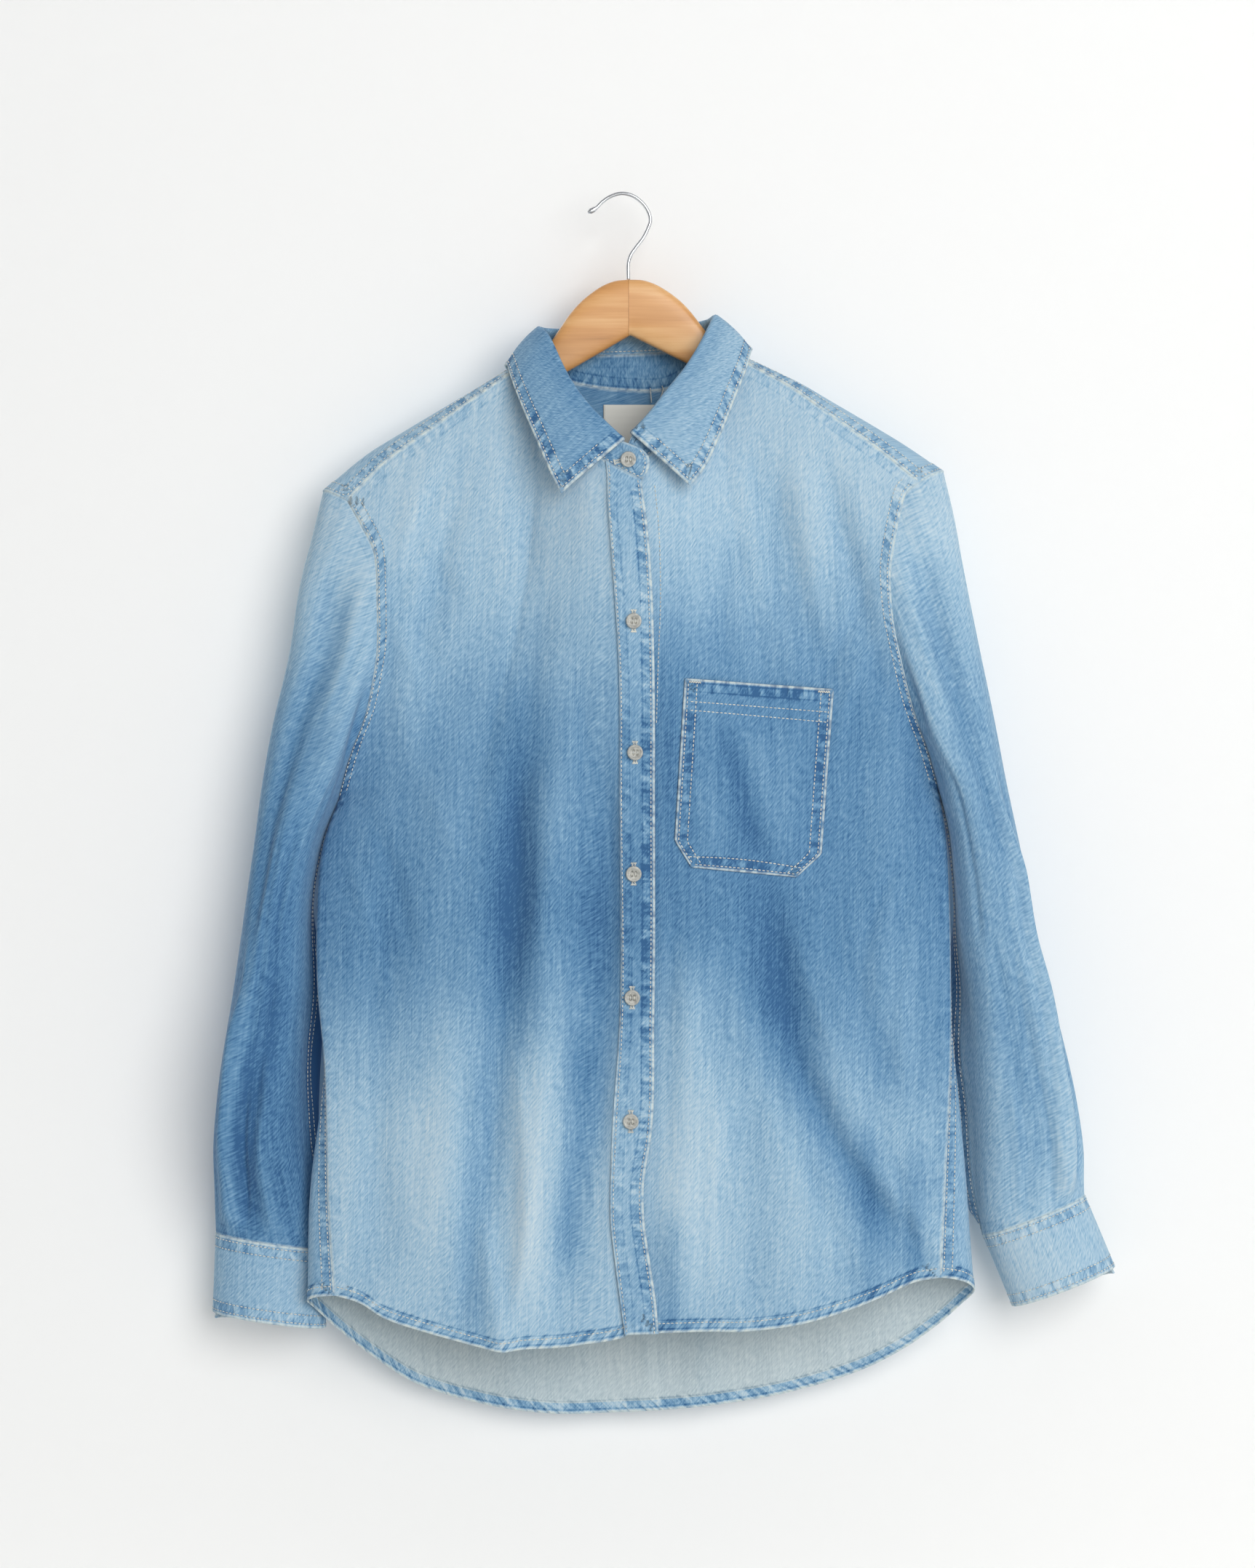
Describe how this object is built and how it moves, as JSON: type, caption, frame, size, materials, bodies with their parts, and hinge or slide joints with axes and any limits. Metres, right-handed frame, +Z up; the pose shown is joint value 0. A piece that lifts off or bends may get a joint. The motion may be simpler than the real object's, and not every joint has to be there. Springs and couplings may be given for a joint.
{
  "type": "denim shirt on a hanger",
  "caption": "Long-sleeved denim shirt, buttoned up, with a pointed collar and a chest pocket, hanging on a wooden hanger with a wire hook.",
  "frame": {"origin": "inner top of the hanger's hook, where it hangs", "axes": "+Z up, -Y the front of the shirt, +X to the wearer's left"},
  "size_m": [0.664, 0.0913, 0.9014],
  "materials": {
    "denim": "washed mid-blue cotton twill with pale fades",
    "denim_pale": "the same twill, washed paler on the collar and cuffs",
    "button_horn": "pale grey, satin",
    "label_satin": "blank off-white woven satin",
    "hanger_wood": "pale honey, satin lacquer",
    "hook_chrome": "polished wire"
  },
  "bodies": {
    "root": {"front_right": "denim", "front_left": "denim", "back": "denim", "yoke": "denim", "placket": "denim", "pocket": "denim", "sleeve_right_front": "denim", "sleeve_right_back": "denim", "sleeve_left_front": "denim", "sleeve_left_back": "denim", "sleeve_band_right": "denim", "sleeve_band_left": "denim", "collar_stand": "denim_pale", "collar": "denim_pale", "cuff_right": "denim_pale", "cuff_left": "denim_pale", "button_stand": "button_horn", "button_1": "button_horn", "button_2": "button_horn", "button_3": "button_horn", "button_4": "button_horn", "button_5": "button_horn", "cuff_button_right": "button_horn", "cuff_button_left": "button_horn", "label": "label_satin", "hanger": "hanger_wood", "hook": "hook_chrome"}
  },
  "joints": []
}
